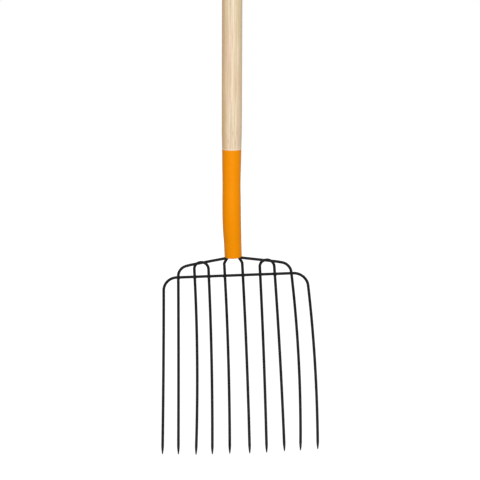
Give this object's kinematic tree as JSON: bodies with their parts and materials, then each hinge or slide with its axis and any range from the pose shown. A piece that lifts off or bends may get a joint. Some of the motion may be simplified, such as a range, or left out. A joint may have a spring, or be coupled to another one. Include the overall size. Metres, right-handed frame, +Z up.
{
  "type": "bedding fork",
  "caption": "Long-handled hand fork with a wide row of round, dished steel tines and a bent steel ferrule, for lifting and sifting stall bedding.",
  "frame": {"origin": "on the handle's axis, in the middle of its straight cylindrical stretch", "axes": "+Z up along the handle, away from the tines; -Y towards the hollow working face; +X to the right of someone who looks at that face"},
  "size_m": [0.3118, 0.0625, 1.6178],
  "materials": {
    "ash_wood": "smooth turned ash, clear coat",
    "orange_paint": "semi-gloss powder coat",
    "black_paint": "satin paint",
    "weld_paint": "satin paint over weld metal",
    "rivet_steel": "plain steel"
  },
  "bodies": {
    "root": {"handle": "ash_wood", "ferrule": "orange_paint", "handle_rivet": "rivet_steel", "outer_tine_bow": "black_paint", "left_shoulder_tine": "black_paint", "right_shoulder_tine": "black_paint", "left_tine_loop": "black_paint", "right_tine_loop": "black_paint", "left_centre_tine": "black_paint", "right_centre_tine": "black_paint", "crossbar_welds": "weld_paint", "loop_welds": "weld_paint", "shank_welds": "weld_paint"}
  },
  "joints": []
}
